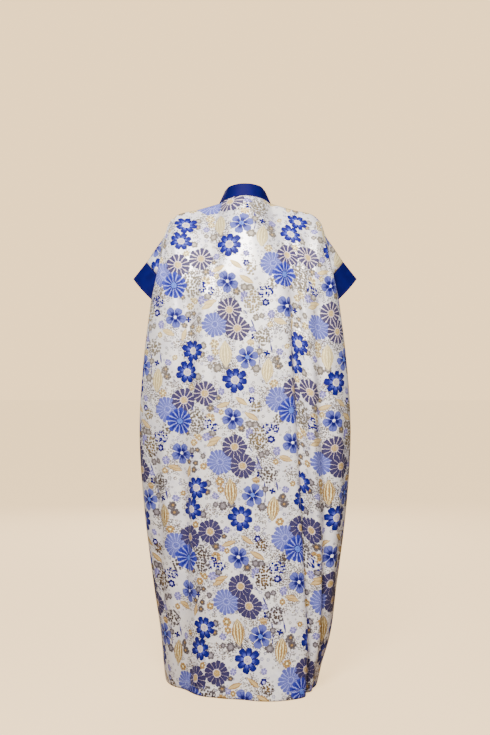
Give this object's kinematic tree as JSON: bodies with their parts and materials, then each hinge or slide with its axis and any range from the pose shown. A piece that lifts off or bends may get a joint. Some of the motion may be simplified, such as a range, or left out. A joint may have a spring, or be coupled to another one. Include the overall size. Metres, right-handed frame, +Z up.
{
  "type": "grand boubou robe",
  "caption": "Floor-length grand boubou robe in floral brocade, held in its worn shape, with plain satin neck and cuff bands.",
  "frame": {"origin": "where the wearer's shoulders carry the robe, midway between the two side neck points", "axes": "+Z up along the standing wearer, the front of the robe faces -Y, the wearer's left is +X"},
  "size_m": [0.7136, 0.5172, 1.5254],
  "materials": {
    "brocade": "silver-white satin jacquard with woven blue, plum and pale gold flowers",
    "blue_satin": "plain royal blue satin, low sheen"
  },
  "bodies": {
    "root": {"back_panel": "brocade", "front_panel": "brocade", "neck_band": "blue_satin", "cuff_band_left": "blue_satin", "cuff_band_right": "blue_satin"}
  },
  "joints": []
}
